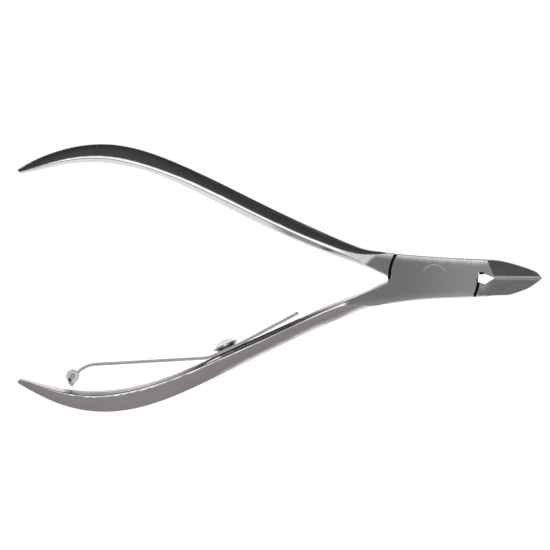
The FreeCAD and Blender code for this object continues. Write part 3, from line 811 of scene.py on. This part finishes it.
class NIPPER_OT_axle(bpy.types.Operator):
    """Axle of the roller, with an upset head on each ear of the leaf"""

    bl_idname = "nipper.axle"
    bl_label = "Roller Axle"

    def execute(self, context):
        parts = context.scene.nipper_parts
        low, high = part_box("roller_axle")
        radius = (high.x - low.x) / 2 / MM
        half = (high.z - low.z) / 2 / MM
        head = parts.axle_head / MM
        proud, bevel, crown, corner = 0.05, 0.2, 0.2, 0.01
        top, seat = half + proud, half - 0.001
        outline = rounded_outline(
            [(AXIS_GAP, -top), (head - bevel, -top), (head, -seat), (radius, -seat),
             (radius, seat), (head, seat), (head - bevel, top), (AXIS_GAP, top)],
            [AXIS_ROUND, crown, corner, corner, corner, corner, crown, AXIS_ROUND])
        surface = turned(meet_axis(outline), ROLLER_AT, ROLLER_AXIS, parts.segments)
        finish = context.scene.nipper_finish
        material = turned_material("axle_steel", finish.spring_colour, finish.axle_roughness,
                                   ROLLER_AT, ROLLER_AXIS, finish)
        piece = add_piece("axle", [(surface, True, True)], material)
        hand_over(piece, "spring", "roller_axle")
        return {"FINISHED"}


class NIPPER_OT_stage(bpy.types.Operator):
    """Plain lit floor, soft studio light and the camera over the tool"""

    bl_idname = "nipper.stage"
    bl_label = "Studio"

    def execute(self, context):
        studio = context.scene.nipper_studio
        context.scene.view_settings.view_transform = "Standard"
        self.add_light(context.scene, studio)
        self.add_floor(context.scene, studio)
        self.add_camera(context.scene, studio)
        return {"FINISHED"}

    def add_light(self, scene, studio):
        """A tent of soft light, by direction: bright in front, dark behind, a panel above."""
        world = bpy.data.worlds.new("soft_studio")
        scene.world = world
        world.use_nodes = True
        graph = Graph(world.node_tree)
        direction = graph.node("ShaderNodeTexCoord", outputs=["Generated"])
        x, y, z = graph.node("ShaderNodeSeparateXYZ", None, {"Vector": direction},
                             outputs=(0, 1, 2))
        side = y.rise(0.0, -0.42)
        low = y.rise(-0.90, -0.985)
        panel = abs(x).rise(0.34, 0.14) * abs(y).rise(0.40, 0.18) * z.rise(0.5, 0.7)
        front = graph.node("ShaderNodeBackground", None, {
            "Color": (*studio.bright_colour, 1.0),
            "Strength": side * studio.bright_side + low * studio.low_panel})
        plain = graph.node("ShaderNodeBackground", None, {
            "Color": (1.0, 1.0, 1.0, 1.0),
            "Strength": (studio.dark_side + z.rise(0.2, 0.75) * studio.dark_top
                         + panel * studio.overhead)})
        both = graph.node("ShaderNodeAddShader", None, {0: front, 1: plain})
        graph.node("ShaderNodeOutputWorld", None, {"Surface": both}, outputs=())

    def add_floor(self, scene, studio):
        """A lit white square just under the tool's back faces."""
        half = studio.floor_half
        mesh = bpy.data.meshes.new("floor")
        low = -studio.floor_drop
        mesh.from_pydata([(-half, -half, low), (half, -half, low), (half, half, low),
                          (-half, half, low)], [], [(0, 1, 2, 3)])
        material, graph = new_material("floor_white")
        shader = graph.node("ShaderNodeBsdfPrincipled", None, {
            "Base Color": (0.5, 0.5, 0.5, 1.0), "Roughness": 0.8,
            "Emission Color": (1.0, 1.0, 1.0, 1.0), "Emission Strength": studio.floor_glow})
        graph.node("ShaderNodeOutputMaterial", None, {"Surface": shader}, outputs=())
        mesh.materials.append(material)
        floor = bpy.data.objects.new("floor", mesh)
        scene.collection.objects.link(floor)

    def add_camera(self, scene, studio):
        """Straight above the tool, looking down."""
        camera = bpy.data.cameras.new("camera")
        camera.lens = studio.lens
        camera.clip_start = 0.01
        camera.clip_end = 20.0
        holder = bpy.data.objects.new("camera", camera)
        height = studio.view_width * camera.lens / camera.sensor_width
        holder.location = (studio.aim[0], studio.aim[1], studio.aim[2] + height)
        scene.collection.objects.link(holder)
        scene.camera = holder


OPERATORS = (NIPPER_OT_levers, NIPPER_OT_leaf, NIPPER_OT_rivet, NIPPER_OT_washer,
             NIPPER_OT_screw, NIPPER_OT_roller, NIPPER_OT_axle, NIPPER_OT_stage)


class NIPPER_PT_panel(bpy.types.Panel):
    """Buttons that make each group of pieces, and their settings."""

    bl_idname = "NIPPER_PT_panel"
    bl_label = "Cuticle Nipper"
    bl_space_type = "VIEW_3D"
    bl_region_type = "UI"
    bl_category = "Nipper"

    def draw(self, context):
        for operator in OPERATORS:
            self.layout.operator(operator.bl_idname)
        for group in (context.scene.nipper_finish, context.scene.nipper_parts,
                      context.scene.nipper_studio):
            box = self.layout.box()
            for name in group.bl_rna.properties.keys():
                if name not in ("rna_type", "name"):
                    box.prop(group, name)


CLASSES = (NipperFinish, NipperParts, NipperStudio, *OPERATORS, NIPPER_PT_panel)


def register():
    for made in CLASSES:
        bpy.utils.register_class(made)
    bpy.types.Scene.nipper_finish = PointerProperty(type=NipperFinish)
    bpy.types.Scene.nipper_parts = PointerProperty(type=NipperParts)
    bpy.types.Scene.nipper_studio = PointerProperty(type=NipperStudio)


def unregister():
    for name in ("nipper_finish", "nipper_parts", "nipper_studio"):
        delattr(bpy.types.Scene, name)
    for made in reversed(CLASSES):
        bpy.utils.unregister_class(made)


def main():
    """Makes the nipper and its studio."""
    register()
    bpy.ops.nipper.levers()
    bpy.ops.nipper.leaf()
    bpy.ops.nipper.rivet()
    bpy.ops.nipper.washer()
    bpy.ops.nipper.screw()
    bpy.ops.nipper.roller()
    bpy.ops.nipper.axle()
    bpy.ops.nipper.stage()


if __name__ == "__main__":
    main()
